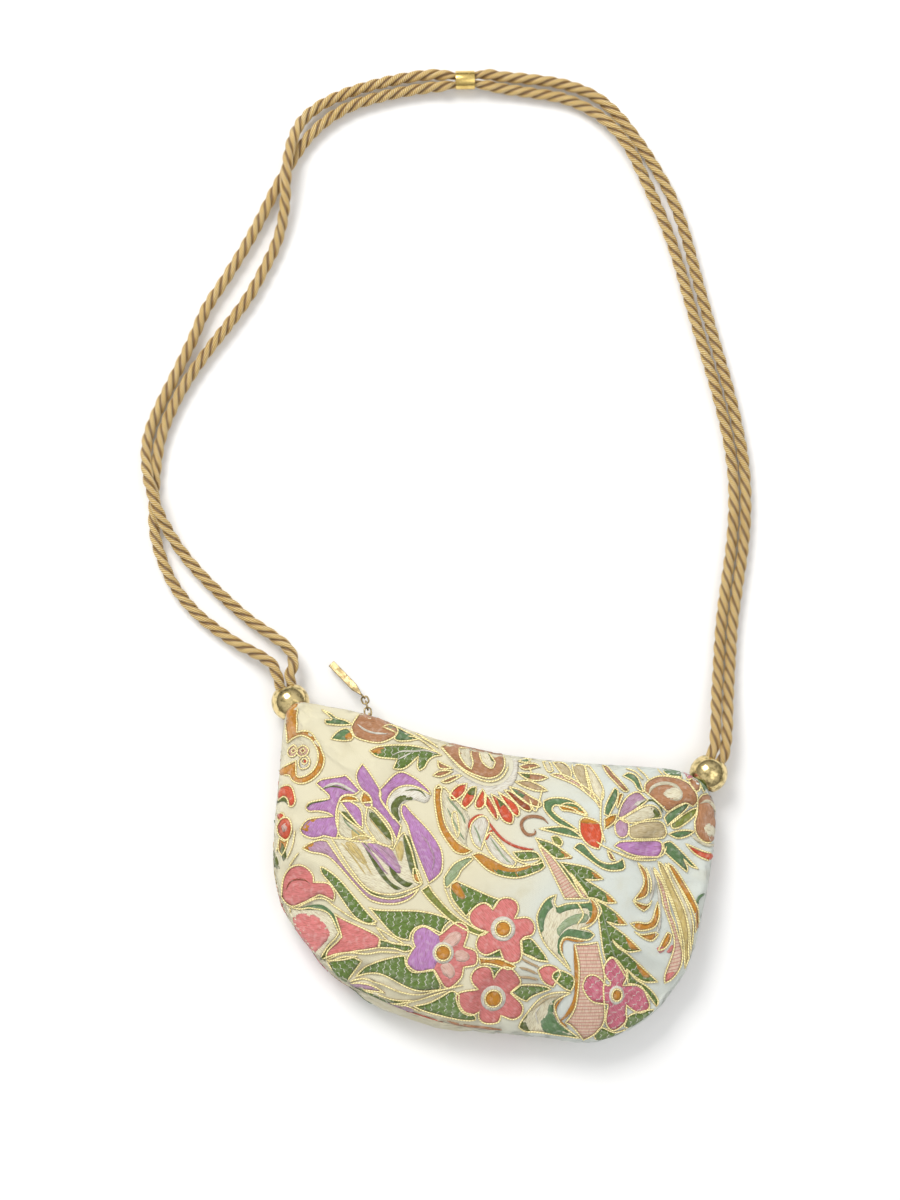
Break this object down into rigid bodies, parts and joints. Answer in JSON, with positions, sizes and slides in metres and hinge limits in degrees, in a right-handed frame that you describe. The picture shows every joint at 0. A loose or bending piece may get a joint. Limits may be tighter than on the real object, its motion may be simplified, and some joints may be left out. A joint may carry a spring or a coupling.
{
  "type": "clutch bag",
  "caption": "Small half-moon evening bag in floral brocade with a top zip and a doubled twisted cord strap held by brass balls.",
  "frame": {"origin": "middle of the flat patch of back cloth that the bag rests on", "axes": "+X along the bag's width towards the right ball, +Y towards the zip edge and the strap, +Z out of the front"},
  "size_m": [0.2901, 0.4425, 0.0317],
  "materials": {
    "brocade": "floral jacquard on a cream satin ground",
    "tape": "plain woven",
    "teeth": "plain",
    "gold": "polished",
    "old_gold": "antique, satin",
    "cord": "three-ply twisted rayon cord"
  },
  "bodies": {
    "root": {"front_panel": "brocade", "back_panel": "brocade", "zip_tape_front": "tape", "zip_tape_back": "tape", "zip_teeth": "teeth", "zip_slider": "old_gold", "pull_link_1": "old_gold", "pull_link_2": "old_gold", "pull_link_3": "old_gold", "zip_pull": "old_gold", "left_ball": "gold", "right_ball": "gold", "strap_cord_left_outer": "cord", "strap_cord_left_inner": "cord", "strap_cord_right_outer": "cord", "strap_cord_right_inner": "cord", "strap_ferrule": "gold"}
  },
  "joints": []
}
